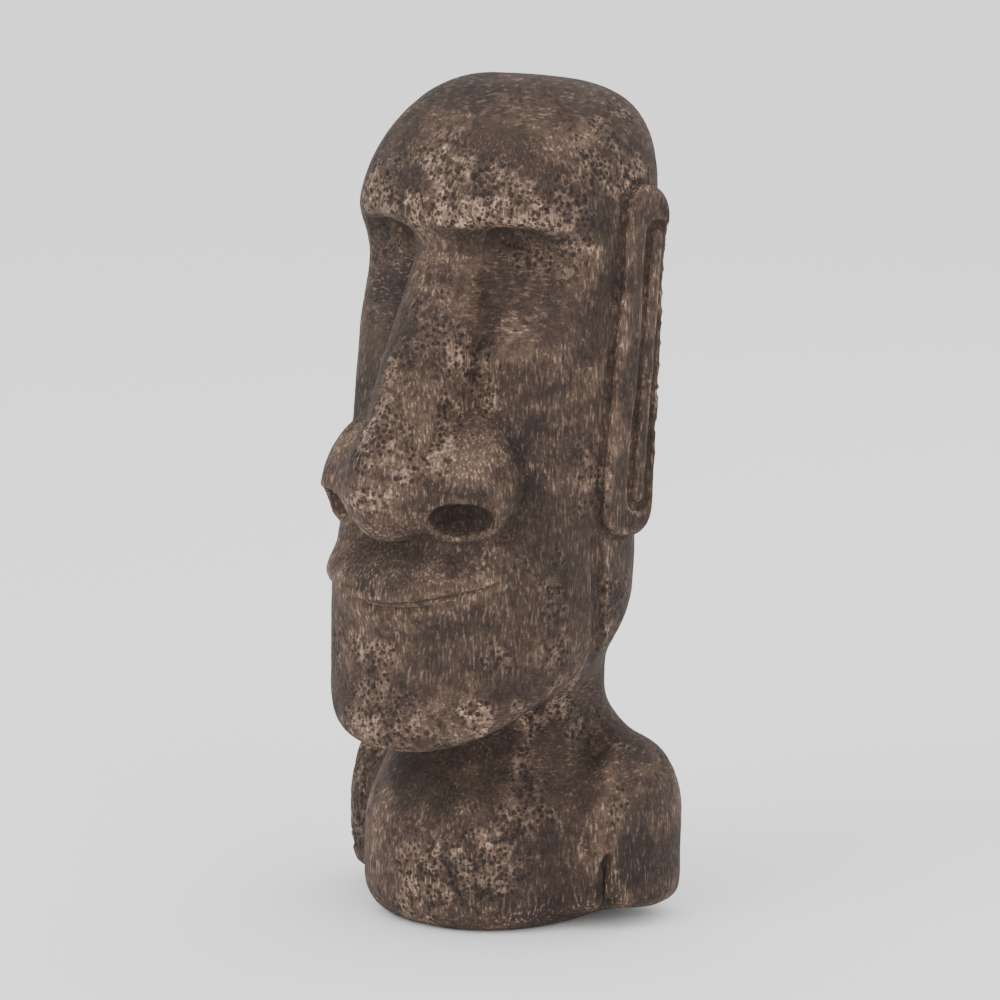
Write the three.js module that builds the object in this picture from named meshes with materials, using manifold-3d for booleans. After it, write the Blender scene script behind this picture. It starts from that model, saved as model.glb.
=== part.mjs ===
// Moai head statue: one solid of cast or carved stone, standing on its flat underside.
// Units are millimetres, +Z is up and the face looks towards -Y.
// The origin is the middle of the overall box, at the level of the underside.
//
// The form is written as a signed distance field that joins a few named bodies: the head
// block, brow, nose, lips, ears, neck, chest, shoulders and arms. A closed skin that starts
// as a sphere around the statue is drawn in onto that field, refined where the form bends,
// and cut off flat at the underside.
import * as THREE from "three";
import { mergeVertices } from "three/addons/utils/BufferGeometryUtils.js";
import Module from "manifold-3d";

const deg = THREE.MathUtils.degToRad;

// ---------------------------------------------------------------- driving dimensions
// The head block leans back about a pivot inside it; its own heights count from there.
const HEAD = {
  lean: deg(8), pivotY: -28, pivotZ: 380,
  halfWidth: 139, jawNarrowing: 14, narrowFrom: 40, narrowTo: 200,
  faceDepth: 113, lowerFaceGain: 37, browGain: 27, browFrom: 240, browTo: 290,
  gainFrom: -40, gainTo: 90,
  backDepth: 97, lowerBackGain: 17, backFrom: -120, backTo: 60,
  squareFace: 3.0, roundJaw: 0.6, squareBack: 2.4,
  domeFrom: 262, domeHeight: 167, domeFront: 2.3, domeBackGain: 1.25, domeTurnFrom: -90, domeTurnTo: 70,
};
// A shallow hollow under each brow, turned to follow the face round and to run out downwards.
const SOCKET = { x: 82, y: -122, z: 224, radii: [68, 30, 58], turn: deg(-20), pitch: deg(22), soften: 30 };
// The underside of the jaw is a sloping plane, rising towards the back.
const JAW = { y: -170, z: 186, slope: deg(24.5), soften: 42 };
// The long nose ridge: its section grows in depth from the brow to the tip.
const RIDGE = {
  top: 240, run: 156, startY: -83, advance: 47, halfWidth: 49, widthGain: -1, depth: 48, depthGain: 24,
  section: 1.8, upperEnd: 296, upperSoften: 30, lowerEnd: 16, lowerSoften: 50, blend: 10, ease: 0.6, reach: -0.1,
};
// A groove runs down each side of the ridge, from the inner corner of the eye to the wing.
const EYE_CORNER = { from: [58, -102, 266], to: [55, -119, 118], radii: [12, 5], soften: 12 };
const BALL = { centre: [0, -160, 34], radii: [43, 49, 55], blend: 24 };
// The flared wing on each side of the nose tip, leaning in and back, with its scooped nostril.
const WING = { x: 59, y: -116, z: 43, radii: [45, 46, 69], leanIn: deg(-14), leanBack: deg(24), blend: 40 };
const NOSTRIL = { x: 84, y: -155, z: 2, radii: [38, 27, 19], leanIn: deg(14), leanBack: deg(-30), soften: 6 };
const NOSE_BASE = { z: -20, rise: 0.0016, soften: 6, blend: 5 };
// The mouth is a thin line that curves up to both sides, under a long upper lip.
const LIPS = {
  lineZ: -78, curve: 0.0028, seatY: -60, halfWidth: 107, upperDepth: 88, pout: 29, poutFrom: 12, poutTo: 60,
  section: 2.6, backDepth: 60, top: -10, topSoften: 12, edge: 6, blend: 14,
  lowerHalfWidth: 101, lowerDepth: 100, lowerDrop: 10, lowerHalfHeight: 13, lowerSoften: 22,
};
// Each long ear is an upright slab with round ends, standing off the side of the head.
const EAR = {
  x: 140, y: 8, z: 166, splay: -3, halfHeight: 166, halfDepth: 32, taper: 4, corner: 28,
  halfThickness: 13, yaw: deg(6), edge: 8, blend: 5,
};
// A looped groove is carved into the outer face of each ear.
const EAR_LOOP = { y: 12, z: -4, halfDepth: 12, halfHeight: 133, corner: 11, cut: 6, edge: 4 };
// A groove runs down from the ear lobe and marks the back edge of the jaw.
const JAW_GROOVE = { from: [141, -18, -5], to: [132, 8, -135], radii: [9, 7], soften: 12 };
const NECK = { y: -15, halfWidth: 100, front: 82, back: 86, section: 2.4, top: 340, soften: 20, blend: 60 };
const CHEST = {
  y: -20, halfWidth: 116.5, front: 136, back: 90, section: 2.3, domeFrom: 74, domeHeight: 92, dome: 2.2,
};
const SHOULDERS = {
  y: 20, halfWidth: 160, front: 50, back: 64, section: 2.6, domeFrom: 88, domeHeight: 124, dome: 2.2,
  bottom: 12, soften: 24, blend: 24,
};
const ARM = {
  x: 142, halfWidth: 27, front: 64, back: 60, frontSection: 2.3, backSection: 2.6,
  domeFrom: 92, domeHeight: 78, dome: 2.0, bottom: 18, soften: 24, blend: 44, merge: 10, mergeFrom: 40, mergeTo: 150,
};
// A short groove parts the lower arm from the chest.
const ARM_GROOVE = { from: [150, -56, 0], to: [148, -52, 118], radii: [9, 3], soften: 12 };
const UNDERSIDE = { z: -1, edge: 40 };
const HEAD_TO_BODY = 42;

// Skin: how closely the facets follow the form.
const SKIN = {
  radii: [260, 310, 500], centre: [0, -40, 390], detail: 6,
  offsets: [90, 60, 38, 22, 12, 6, 2, 0],
  longestEdge: 56, spread: 40, shortestEdge: 5, sag: 0.4, firstSag: 2.4, easing: 0.75, rounds: 12,
  trianglesWanted: 9800,
};

const STONE = { color: 0x5f4e44, roughness: 0.93, metalness: 0.0 };

// ---------------------------------------------------------------- field building blocks
const clamp = THREE.MathUtils.clamp;

// Smooth union and smooth intersection with a rounding of about k.
function join(a, b, k) {
  const h = Math.max(k - Math.abs(a - b), 0) / k;
  return Math.min(a, b) - h * h * k * 0.25;
}

function meet(a, b, k) {
  return -join(-a, -b, k);
}

// Smooth step from 0 at lo to 1 at hi.
function ramp(v, lo, hi) {
  const t = clamp((v - lo) / (hi - lo), 0, 1);
  return t * t * (3 - 2 * t);
}

function turn(a, b, angle) {
  const c = Math.cos(angle);
  const s = Math.sin(angle);
  return [a * c - b * s, a * s + b * c];
}

function ellipsoid(x, y, z, [rx, ry, rz]) {
  const px = x / rx;
  const py = y / ry;
  const pz = z / rz;
  const k0 = Math.hypot(px, py, pz) + 1e-6;
  const k1 = Math.hypot(px / rx, py / ry, pz / rz) + 1e-6;
  return (k0 * (k0 - 1)) / k1;
}

// A rod with round ends whose radius changes evenly along it.
function taperedRod(p, from, to, [ra, rb]) {
  const d = to.map((v, i) => v - from[i]);
  const q = p.map((v, i) => v - from[i]);
  const length2 = d[0] * d[0] + d[1] * d[1] + d[2] * d[2];
  const t = clamp((q[0] * d[0] + q[1] * d[1] + q[2] * d[2]) / length2, 0, 1);
  return Math.hypot(q[0] - t * d[0], q[1] - t * d[1], q[2] - t * d[2]) - (ra + (rb - ra) * t);
}

// An upright column of superelliptic section, with separate depths and squareness in front
// and behind, closed by a dome above the height that rise counts from.
function column(x, y, halfWidth, front, back, frontPower, backPower, rise = 0, domeHeight = 1, dome = 2) {
  const depth = y < 0 ? front : back;
  const power = y < 0 ? frontPower : backPower;
  const q = Math.pow(Math.pow(Math.abs(x) / halfWidth, power) + Math.pow(Math.abs(y) / depth, power), 1 / power);
  const u = Math.max(rise, 0);
  const q3 = Math.pow(Math.pow(q + 1e-6, dome) + Math.pow(u / domeHeight, dome), 1 / dome);
  return Math.sqrt(x * x + y * y + u * u) * (1 - 1 / q3);
}

// An upright outline with straight sides and round ends.
function longOval(y, z, halfDepth, halfHeight, corner) {
  const qy = Math.abs(y) - (halfDepth - corner);
  const qz = Math.abs(z) - (halfHeight - corner);
  return Math.hypot(Math.max(qy, 0), Math.max(qz, 0)) + Math.min(Math.max(qy, qz), 0) - corner;
}

// ---------------------------------------------------------------- the bodies
function headBlock(x, y, z) {
  const halfWidth = HEAD.halfWidth - HEAD.jawNarrowing * ramp(-z, HEAD.narrowFrom, HEAD.narrowTo);
  const low = ramp(-z, HEAD.gainFrom, HEAD.gainTo);
  const front = HEAD.faceDepth + HEAD.lowerFaceGain * low + HEAD.browGain * ramp(z, HEAD.browFrom, HEAD.browTo);
  const back = HEAD.backDepth + HEAD.lowerBackGain * ramp(-z, HEAD.backFrom, HEAD.backTo);
  const dome = HEAD.domeFront + HEAD.domeBackGain * ramp(y, HEAD.domeTurnFrom, HEAD.domeTurnTo);
  const square = HEAD.squareFace - HEAD.roundJaw * low;
  return column(x, y, halfWidth, front, back, square, HEAD.squareBack, z - HEAD.domeFrom, HEAD.domeHeight, dome);
}

function eyeSocket(x, y, z) {
  const [dx, dy] = turn(x - SOCKET.x, y - SOCKET.y, SOCKET.turn);
  const [ey, ez] = turn(dy, z - SOCKET.z, SOCKET.pitch);
  return ellipsoid(dx, ey, ez, SOCKET.radii);
}

function jawPlane(y, z) {
  return (JAW.z + (y - JAW.y) * Math.tan(JAW.slope) - z) * Math.cos(JAW.slope);
}

function noseRidge(x, y, z) {
  const t = join(Math.max((RIDGE.top - z) / RIDGE.run, RIDGE.reach), 1, RIDGE.ease);
  const cy = RIDGE.startY - RIDGE.advance * t;
  const halfWidth = RIDGE.halfWidth + RIDGE.widthGain * t;
  const depth = RIDGE.depth + RIDGE.depthGain * t;
  const body = column(x, y - cy, halfWidth, depth, depth, RIDGE.section, RIDGE.section);
  return meet(meet(body, z - RIDGE.upperEnd, RIDGE.upperSoften), RIDGE.lowerEnd - z, RIDGE.lowerSoften);
}

function noseTip(x, y, z, ball) {
  const [wx, dz] = turn(x - WING.x, z - WING.z, WING.leanIn);
  const [wy, wz] = turn(y - WING.y, dz, WING.leanBack);
  const wing = ellipsoid(wx, wy, wz, WING.radii);
  const [nx, du] = turn(x - NOSTRIL.x, z - NOSTRIL.z, NOSTRIL.leanIn);
  const [ny, nz] = turn(y - NOSTRIL.y, du, NOSTRIL.leanBack);
  const nostril = ellipsoid(nx, ny, nz, NOSTRIL.radii);
  const tip = meet(join(ball, wing, WING.blend), -nostril, NOSTRIL.soften);
  return meet(tip, NOSE_BASE.z + NOSE_BASE.rise * x * x - z, NOSE_BASE.soften);
}

function mouth(head, x, y, z) {
  const line = LIPS.lineZ + LIPS.curve * x * x;
  const depth = LIPS.upperDepth + LIPS.pout * ramp(-z, LIPS.poutFrom, LIPS.poutTo);
  let upper = column(x, y - LIPS.seatY, LIPS.halfWidth, depth, LIPS.backDepth, LIPS.section, 2);
  upper = meet(meet(upper, line - z, LIPS.edge), z - LIPS.top, LIPS.topSoften);
  let lower = column(x, y - LIPS.seatY, LIPS.lowerHalfWidth, LIPS.lowerDepth, LIPS.backDepth, LIPS.section, 2);
  lower = meet(lower, Math.abs(z - line + LIPS.lowerDrop) - LIPS.lowerHalfHeight, LIPS.lowerSoften);
  return join(join(head, upper, LIPS.blend), lower, LIPS.blend);
}

function earSlab(x, y, z) {
  const dz = z - EAR.z;
  const k = clamp(dz / EAR.halfHeight, -1, 1);
  const [ex, ey] = turn(x - EAR.x, y - EAR.y - EAR.splay * k, EAR.yaw);
  const outline = longOval(ey, dz, EAR.halfDepth - EAR.taper * k, EAR.halfHeight, EAR.corner);
  const slab = meet(outline, Math.abs(ex) - EAR.halfThickness, EAR.edge);
  const loop = longOval(ey - EAR_LOOP.y, dz - EAR_LOOP.z, EAR_LOOP.halfDepth, EAR_LOOP.halfHeight, EAR_LOOP.corner);
  const groove = Math.hypot(loop, ex - EAR.halfThickness) - EAR_LOOP.cut;
  return meet(slab, -groove, EAR_LOOP.edge);
}

function headForm(side, Y, Z) {
  const [y, z] = turn(Y - HEAD.pivotY, Z - HEAD.pivotZ, HEAD.lean);
  let head = meet(headBlock(side, y, z), -eyeSocket(side, y, z), SOCKET.soften);
  head = meet(head, jawPlane(Y, Z), JAW.soften);
  head = join(head, noseRidge(side, y, z), RIDGE.blend);
  const corner = taperedRod([side, y, z], EYE_CORNER.from, EYE_CORNER.to, EYE_CORNER.radii);
  head = meet(head, -corner, EYE_CORNER.soften);
  const [bx, by, bz] = BALL.centre;
  const ball = ellipsoid(side - bx, y - by, z - bz, BALL.radii);
  head = join(head, ball, BALL.blend);
  head = join(head, noseTip(side, y, z, ball), NOSE_BASE.blend);
  head = mouth(head, side, y, z);
  head = join(head, earSlab(side, y, z), EAR.blend);
  const groove = taperedRod([side, y, z], JAW_GROOVE.from, JAW_GROOVE.to, JAW_GROOVE.radii);
  return meet(head, -groove, JAW_GROOVE.soften);
}

function bodyForm(side, y, z) {
  const neck = column(side, y - NECK.y, NECK.halfWidth, NECK.front, NECK.back, NECK.section, NECK.section);
  const chest = column(
    side, y - CHEST.y, CHEST.halfWidth, CHEST.front, CHEST.back, CHEST.section, CHEST.section,
    z - CHEST.domeFrom, CHEST.domeHeight, CHEST.dome,
  );
  let shoulders = column(
    side, y - SHOULDERS.y, SHOULDERS.halfWidth, SHOULDERS.front, SHOULDERS.back, SHOULDERS.section,
    SHOULDERS.section, z - SHOULDERS.domeFrom, SHOULDERS.domeHeight, SHOULDERS.dome,
  );
  shoulders = meet(shoulders, SHOULDERS.bottom - z, SHOULDERS.soften);
  let arm = column(
    side - ARM.x, y, ARM.halfWidth, ARM.front, ARM.back, ARM.frontSection, ARM.backSection,
    z - ARM.domeFrom, ARM.domeHeight, ARM.dome,
  );
  arm = meet(arm, ARM.bottom - z, ARM.soften);
  let body = join(chest, meet(neck, z - NECK.top, NECK.soften), NECK.blend);
  body = join(body, shoulders, SHOULDERS.blend);
  body = join(body, arm, ARM.blend + ARM.merge * ramp(z, ARM.mergeFrom, ARM.mergeTo));
  const groove = taperedRod([side, y, z], ARM_GROOVE.from, ARM_GROOVE.to, ARM_GROOVE.radii);
  body = meet(body, -groove, ARM_GROOVE.soften);
  return meet(body, UNDERSIDE.z - z, UNDERSIDE.edge);
}

// Distance from the statue's surface: negative inside, both sides alike.
function statueField(x, y, z) {
  const side = Math.abs(x);
  return join(headForm(side, y, z), bodyForm(side, y, z), HEAD_TO_BODY);
}

// ---------------------------------------------------------------- the skin
function slope(p, out) {
  const e = 0.4;
  out.set(
    statueField(p.x + e, p.y, p.z) - statueField(p.x - e, p.y, p.z),
    statueField(p.x, p.y + e, p.z) - statueField(p.x, p.y - e, p.z),
    statueField(p.x, p.y, p.z + e) - statueField(p.x, p.y, p.z - e),
  );
  return out.divideScalar(2 * e);
}

class Skin {
  constructor(geometry) {
    const position = geometry.attributes.position;
    const index = geometry.index.array;
    this.points = [];
    this.faces = [];
    for (let i = 0; i < position.count; i += 1) {
      this.points.push(new THREE.Vector3().fromBufferAttribute(position, i));
    }
    for (let i = 0; i < index.length; i += 3) {
      this.faces.push([index[i], index[i + 1], index[i + 2]]);
    }
  }

  // Move one point along the slope of the field until it lies at the given offset.
  settle(p, offset, steps = 4, stride = 40) {
    const g = new THREE.Vector3();
    for (let i = 0; i < steps; i += 1) {
      const miss = statueField(p.x, p.y, p.z) - offset;
      if (Math.abs(miss) < 1e-3) {
        return p;
      }
      slope(p, g);
      const move = clamp(miss / Math.max(g.lengthSq(), 0.05), -stride, stride);
      p.addScaledVector(g, -move);
    }
    return p;
  }

  settleAll(offset) {
    for (const p of this.points) {
      this.settle(p, offset);
    }
  }

  // Each edge with the two faces beside it and the corners across from it.
  edges() {
    const table = new Map();
    this.faces.forEach((face, f) => {
      for (let k = 0; k < 3; k += 1) {
        const a = face[k];
        const b = face[(k + 1) % 3];
        const key = a < b ? a * 1e6 + b : b * 1e6 + a;
        const edge = table.get(key) ?? { a, b, faces: [], across: [] };
        edge.faces.push(f);
        edge.across.push(face[(k + 2) % 3]);
        table.set(key, edge);
      }
    });
    return table;
  }

  // Slide every point towards the middle of its neighbours, within the surface.
  relax(strength) {
    const sums = this.points.map(() => new THREE.Vector3());
    const counts = new Array(this.points.length).fill(0);
    for (const { a, b } of this.edges().values()) {
      sums[a].add(this.points[b]);
      sums[b].add(this.points[a]);
      counts[a] += 1;
      counts[b] += 1;
    }
    const normal = new THREE.Vector3();
    this.points.forEach((p, i) => {
      const move = sums[i].divideScalar(counts[i]).sub(p);
      slope(p, normal).normalize();
      move.addScaledVector(normal, -move.dot(normal));
      p.addScaledVector(move, strength);
    });
  }

  // Halve the edges that the test picks, worst first, at most once per face in a pass.
  split(score, offset, room = Infinity) {
    const picked = [];
    for (const edge of this.edges().values()) {
      const value = score(this.points[edge.a], this.points[edge.b]);
      if (value > 0) {
        picked.push({ ...edge, value });
      }
    }
    picked.sort((m, n) => n.value - m.value);
    const touched = new Set();
    let added = 0;
    for (const { a, b, faces, across } of picked) {
      if (added >= room) {
        break;
      }
      if (touched.has(faces[0]) || touched.has(faces[1])) {
        continue;
      }
      const middle = this.points[a].clone().add(this.points[b]).multiplyScalar(0.5);
      const m = this.points.push(this.settle(middle, offset, 3, 10)) - 1;
      this.faces[faces[0]] = [a, m, across[0]];
      this.faces[faces[1]] = [b, m, across[1]];
      touched.add(faces[0]);
      touched.add(faces[1]);
      this.faces.push([m, b, across[0]]);
      this.faces.push([m, a, across[1]]);
      added += 2;
    }
    return added;
  }

  // Swap the diagonal of two neighbouring faces where that makes them better shaped.
  swap() {
    const table = this.edges();
    const touched = new Set();
    const u = new THREE.Vector3();
    const v = new THREE.Vector3();
    const n = new THREE.Vector3();
    const g = new THREE.Vector3();
    const angle = (at, p, q) => u.subVectors(p, at).angleTo(v.subVectors(q, at));
    const facing = (p, q, r) => {
      n.crossVectors(u.subVectors(q, p), v.subVectors(r, p)).normalize();
      g.copy(p).add(q).add(r).divideScalar(3);
      return n.dot(slope(g.clone(), g).normalize());
    };
    const sag = (p, q) => Math.abs(statueField((p.x + q.x) / 2, (p.y + q.y) / 2, (p.z + q.z) / 2));
    for (const { a, b, faces, across } of table.values()) {
      const [c, d] = across;
      const key = c < d ? c * 1e6 + d : d * 1e6 + c;
      if (touched.has(faces[0]) || touched.has(faces[1]) || table.has(key)) {
        continue;
      }
      const [pa, pb, pc, pd] = [a, b, c, d].map((i) => this.points[i]);
      const opposite = angle(pc, pa, pb) + angle(pd, pa, pb);
      const flatter = sag(pa, pb) - sag(pc, pd);
      const gain = (opposite - Math.PI) / Math.PI + flatter / 2;
      if (gain < 0.04 || angle(pa, pc, pd) < 0.15 || angle(pb, pc, pd) < 0.15) {
        continue;
      }
      if (facing(pc, pd, pb) < 0.35 || facing(pd, pc, pa) < 0.35) {
        continue;
      }
      this.faces[faces[0]] = [c, d, b];
      this.faces[faces[1]] = [d, c, a];
      for (const f of faces) {
        touched.add(f);
      }
      this.dirty(table, faces, touched);
    }
  }

  // Faces next to a swapped pair wait for the next pass.
  dirty(table, faces, touched) {
    for (const f of faces) {
      const face = this.faces[f];
      for (let k = 0; k < 3; k += 1) {
        const a = face[k];
        const b = face[(k + 1) % 3];
        const edge = table.get(a < b ? a * 1e6 + b : b * 1e6 + a);
        edge?.faces.forEach((g) => touched.add(g));
      }
    }
  }

  toGeometry() {
    const geometry = new THREE.BufferGeometry();
    geometry.setAttribute("position", new THREE.Float32BufferAttribute(this.points.flatMap((p) => p.toArray()), 3));
    geometry.setIndex(this.faces.flat());
    return geometry;
  }
}

// The bare positions and shared corners of a geometry.
function bare(geometry) {
  const copy = geometry.clone();
  copy.deleteAttribute("normal");
  copy.deleteAttribute("uv");
  return mergeVertices(copy, 1e-3);
}

function wrapStatue() {
  const sphere = new THREE.IcosahedronGeometry(1, SKIN.detail);
  sphere.scale(...SKIN.radii);
  sphere.translate(...SKIN.centre);
  const skin = new Skin(bare(sphere));
  const tooLong = (limit) => (p, q) => p.distanceTo(q) - limit;
  for (const offset of SKIN.offsets) {
    for (let i = 0; i < 4; i += 1) {
      skin.settleAll(offset);
      skin.relax(0.5);
      skin.split(tooLong(SKIN.longestEdge * (1 + offset / SKIN.spread)), offset);
      skin.swap();
    }
    skin.settleAll(offset);
  }
  const sagging = (allowed) => (p, q) => {
    const sag = Math.abs(statueField((p.x + q.x) / 2, (p.y + q.y) / 2, (p.z + q.z) / 2));
    return p.distanceTo(q) > SKIN.shortestEdge ? sag - allowed : 0;
  };
  for (let i = 0; i < SKIN.rounds; i += 1) {
    const allowed = Math.max(SKIN.firstSag * SKIN.easing ** i, SKIN.sag);
    skin.split(sagging(allowed), 0, SKIN.trianglesWanted - skin.faces.length);
    skin.swap();
    skin.relax(0.25);
    skin.settleAll(0);
    skin.swap();
  }
  return skin.toGeometry();
}

// ---------------------------------------------------------------- flat underside
const wasm = await Module();
wasm.setup();

function toSolid(geometry) {
  const shared = bare(geometry);
  return new wasm.Manifold(new wasm.Mesh({
    numProp: 3,
    vertProperties: Float32Array.from(shared.attributes.position.array),
    triVerts: Uint32Array.from(shared.index.array),
  }));
}

function toGeometry(solid) {
  const mesh = solid.getMesh();
  const geometry = new THREE.BufferGeometry();
  geometry.setAttribute("position", new THREE.BufferAttribute(Float32Array.from(mesh.vertProperties), 3));
  geometry.setIndex(new THREE.BufferAttribute(Uint32Array.from(mesh.triVerts), 1));
  return geometry;
}

const BLOCK = { side: 900, height: 100 };

function cutUnderside(geometry) {
  const block = new THREE.BoxGeometry(BLOCK.side, BLOCK.side, BLOCK.height);
  block.translate(0, 0, -BLOCK.height / 2);
  return toGeometry(toSolid(geometry).subtract(toSolid(block)));
}

// ---------------------------------------------------------------- the statue
const form = cutUnderside(wrapStatue());
form.computeBoundingBox();
const middle = form.boundingBox.getCenter(new THREE.Vector3());
form.translate(-middle.x, -middle.y, 0);
form.computeVertexNormals();

const statue = new THREE.Mesh(form, new THREE.MeshStandardMaterial(STONE));
statue.name = "moai_statue";

const model = new THREE.Group();
model.add(statue);

export default model;
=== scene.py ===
"""Stone finish and carving of a moai head statue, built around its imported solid."""

import logging
import math
from dataclasses import dataclass, field
from enum import Enum
from typing import Any, Optional, Sequence, Union

import bmesh
import bpy
import numpy as np
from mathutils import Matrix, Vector


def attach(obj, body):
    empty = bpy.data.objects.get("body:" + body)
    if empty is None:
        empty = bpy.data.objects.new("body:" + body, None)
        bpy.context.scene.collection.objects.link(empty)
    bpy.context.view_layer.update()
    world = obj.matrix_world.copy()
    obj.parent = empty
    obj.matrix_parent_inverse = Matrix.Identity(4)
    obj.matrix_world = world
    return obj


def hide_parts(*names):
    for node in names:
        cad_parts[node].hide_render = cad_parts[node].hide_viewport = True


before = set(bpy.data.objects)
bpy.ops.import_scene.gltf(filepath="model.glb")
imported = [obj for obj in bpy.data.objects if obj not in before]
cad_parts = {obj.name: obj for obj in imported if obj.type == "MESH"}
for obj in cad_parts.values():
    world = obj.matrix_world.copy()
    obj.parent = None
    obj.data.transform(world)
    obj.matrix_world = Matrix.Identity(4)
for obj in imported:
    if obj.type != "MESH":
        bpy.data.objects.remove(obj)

log = logging.getLogger("moai")

NODE = "moai_statue"
MM = 0.001
# The forms below count their depth from the middle of the arms, which lies this far
# behind the middle of the overall box.
MIDDLE_Y = 59.47

Field = np.ndarray
Place = tuple[float, float, float]


# ------------------------------------------------------------------ form building blocks
def join(a: Field, b: Field, k: float) -> Field:
    """Melt two bodies together.

    Args:
        a: Distances from the first body, in millimetres.
        b: Distances from the second body.
        k: Width of the fillet between them.

    Returns:
        Distances from the joined body.
    """
    h = np.maximum(k - np.abs(a - b), 0.0) / k
    return np.minimum(a, b) - h * h * k * 0.25


def meet(a: Field, b: Field, k: float) -> Field:
    """Keep what two bodies share.

    Args:
        a: Distances from the first body, in millimetres.
        b: Distances from the second body.
        k: Width of the rounding along the cut.

    Returns:
        Distances from the shared body.
    """
    return -join(-a, -b, k)


def ramp(v: Field, lo: float, hi: float) -> Field:
    """Ease from 0 to 1.

    Args:
        v: Values to ease.
        lo: Where the ease starts.
        hi: Where it ends.

    Returns:
        Values from 0 to 1.
    """
    t = np.clip((v - lo) / (hi - lo), 0.0, 1.0)
    return t * t * (3.0 - 2.0 * t)


def turned(a: Field, b: Field, angle: float) -> tuple[Field, Field]:
    """Turn a pair of coordinates.

    Args:
        a: First coordinate.
        b: Second coordinate.
        angle: Angle in degrees.

    Returns:
        Both coordinates after the turn.
    """
    c, s = math.cos(math.radians(angle)), math.sin(math.radians(angle))
    return a * c - b * s, a * s + b * c


def ellipsoid(x: Field, y: Field, z: Field, radii: Sequence[float]) -> Field:
    """Measure from an ellipsoid about the origin.

    Args:
        x: Coordinates across.
        y: Coordinates in depth.
        z: Heights.
        radii: Its three radii.

    Returns:
        Distances, close to true ones near the surface.
    """
    rx, ry, rz = radii
    k0 = np.sqrt((x / rx) ** 2 + (y / ry) ** 2 + (z / rz) ** 2) + 1e-6
    k1 = np.sqrt((x / rx**2) ** 2 + (y / ry**2) ** 2 + (z / rz**2) ** 2) + 1e-6
    return k0 * (k0 - 1.0) / k1


def tapered_rod(
    points: Sequence[Field], start: Sequence[float], end: Sequence[float], radii: Sequence[float]
) -> Field:
    """Measure from a round rod whose radius changes evenly along it.

    Args:
        points: The three coordinates.
        start: Middle of its first end.
        end: Middle of its other end.
        radii: Radius at both ends.

    Returns:
        Distances from its skin.
    """
    d = [e - s for s, e in zip(start, end)]
    q = [p - s for p, s in zip(points, start)]
    t = np.clip(sum(a * b for a, b in zip(q, d)) / sum(a * a for a in d), 0.0, 1.0)
    off = np.sqrt(sum((a - t * b) ** 2 for a, b in zip(q, d)))
    return off - (radii[0] + (radii[1] - radii[0]) * t)


def long_oval(y: Field, z: Field, half_depth: Any, half_height: float, corner: float) -> Field:
    """Measure from an upright outline with straight sides and round ends.

    Args:
        y: Coordinates in depth.
        z: Heights.
        half_depth: Half of its depth.
        half_height: Half of its height.
        corner: Radius of its ends.

    Returns:
        Distances in its plane.
    """
    qy = np.abs(y) - (half_depth - corner)
    qz = np.abs(z) - (half_height - corner)
    outside = np.hypot(np.maximum(qy, 0.0), np.maximum(qz, 0.0))
    return outside + np.minimum(np.maximum(qy, qz), 0.0) - corner


@dataclass(frozen=True)
class Column:
    """An upright column of superelliptic section, closed by a dome, in millimetres."""

    half_width: Any
    front: Any
    back: Any
    front_power: Any = 2.4
    back_power: Any = 2.4
    dome_from: Optional[float] = None
    dome_height: float = 1.0
    dome: Any = 2.0

    def distance(self, x: Field, y: Field, z: Field) -> Field:
        """Measure from the column's skin.

        Args:
            x: Coordinates across, from its axis.
            y: Coordinates in depth, from its axis.
            z: Heights.

        Returns:
            Distances from its skin.
        """
        depth = np.where(y < 0, self.front, self.back)
        power = np.where(y < 0, self.front_power, self.back_power)
        q = ((np.abs(x) / self.half_width) ** power + (np.abs(y) / depth) ** power) ** (1 / power) + 1e-6
        if self.dome_from is None:
            return np.hypot(x, y) * (1.0 - 1.0 / q)
        u = np.maximum(z - self.dome_from, 0.0)
        q3 = (q**self.dome + (u / self.dome_height) ** self.dome) ** (1 / self.dome)
        return np.sqrt(x * x + y * y + u * u) * (1.0 - 1.0 / q3)


def scribe(a: Field, b: Field, depth: float, width: float) -> Field:
    """Cut a fine groove where two bodies meet.

    Args:
        a: Distances from the first body.
        b: Distances from the second body.
        depth: Depth of the groove.
        width: Its half width.

    Returns:
        What to add to the joined distances.
    """
    return depth * np.exp(-(a * a + b * b) / (2.0 * width * width))


@dataclass(frozen=True)
class Lump:
    """An ellipsoid that leans in towards the middle, then back. Sizes in millimetres."""

    at: Place
    radii: Place
    lean_in: float
    lean_back: float

    def distance(self, x: Field, y: Field, z: Field) -> Field:
        """Measure from the lump.

        Args:
            x: Coordinates across.
            y: Coordinates in depth.
            z: Heights.

        Returns:
            Distances from its skin.
        """
        dx, dz = turned(x - self.at[0], z - self.at[2], self.lean_in)
        dy, dz = turned(y - self.at[1], dz, self.lean_back)
        return ellipsoid(dx, dy, dz, self.radii)


@dataclass(frozen=True)
class Groove:
    """A round groove whose radius changes evenly along it. Sizes in millimetres."""

    start: Place
    end: Place
    radii: tuple[float, float]
    soften: float

    def cut(self, body: Field, x: Field, y: Field, z: Field) -> Field:
        """Cut the groove into a body.

        Args:
            body: Distances from the body.
            x: Coordinates across.
            y: Coordinates in depth.
            z: Heights.

        Returns:
            Distances from the grooved body.
        """
        return meet(body, -tapered_rod((x, y, z), self.start, self.end, self.radii), self.soften)


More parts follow.
